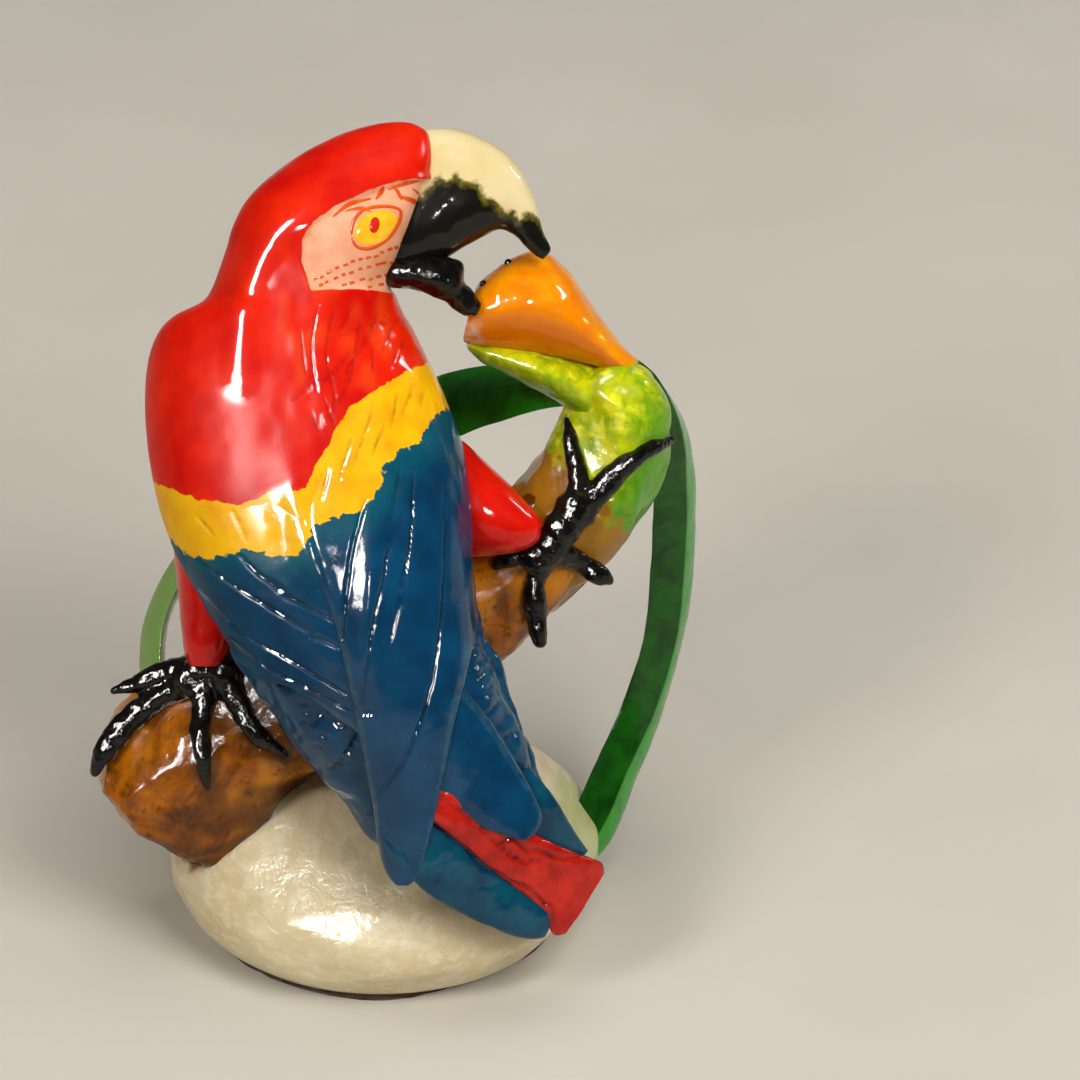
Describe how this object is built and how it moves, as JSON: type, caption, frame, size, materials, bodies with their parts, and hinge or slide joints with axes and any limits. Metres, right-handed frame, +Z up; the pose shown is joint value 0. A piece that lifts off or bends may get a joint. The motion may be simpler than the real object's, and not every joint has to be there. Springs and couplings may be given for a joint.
{
  "type": "macaw figurine",
  "caption": "Carved and painted macaw figurine: a scarlet macaw grips a branch and bites a flower bud, with arching leaves, on a round polished nut base.",
  "frame": {"origin": "centre of the flat underside of the nut base, on the surface it stands on", "axes": "+Z up; the bird's back faces -Y and its head and beak point to +X"},
  "size_m": [0.0425, 0.035, 0.0559],
  "materials": {
    "ivory": "polished bare tagua nut, clear varnish",
    "skin": "dark nut skin left under the base",
    "bark": "amber brown stain over carved nut, gloss varnish",
    "lime": "lime green paint, gloss varnish",
    "green": "dark green paint, gloss varnish",
    "orange": "orange paint, gloss varnish",
    "red": "red paint, gloss varnish",
    "blue": "blue paint, yellow and red at the shoulder, gloss varnish",
    "cream": "bare cream nut with a black painted lower edge, gloss varnish",
    "black": "thick black paint, gloss varnish"
  },
  "bodies": {
    "root": {"nut_base": "ivory", "nut_skin": "skin", "branch": "bark", "stem": "lime", "flower_bud": "orange", "leaf_left": "green", "leaf_right": "green", "macaw_body": "red", "upper_beak": "cream", "lower_beak": "black", "wing_left": "blue", "wing_right": "blue", "tail_coverts": "blue", "tail_feather_left": "blue", "tail_feather_centre": "red", "tail_feather_right": "blue", "thigh_left": "red", "thigh_right": "red", "foot_left": "black", "foot_right": "black"}
  },
  "joints": []
}
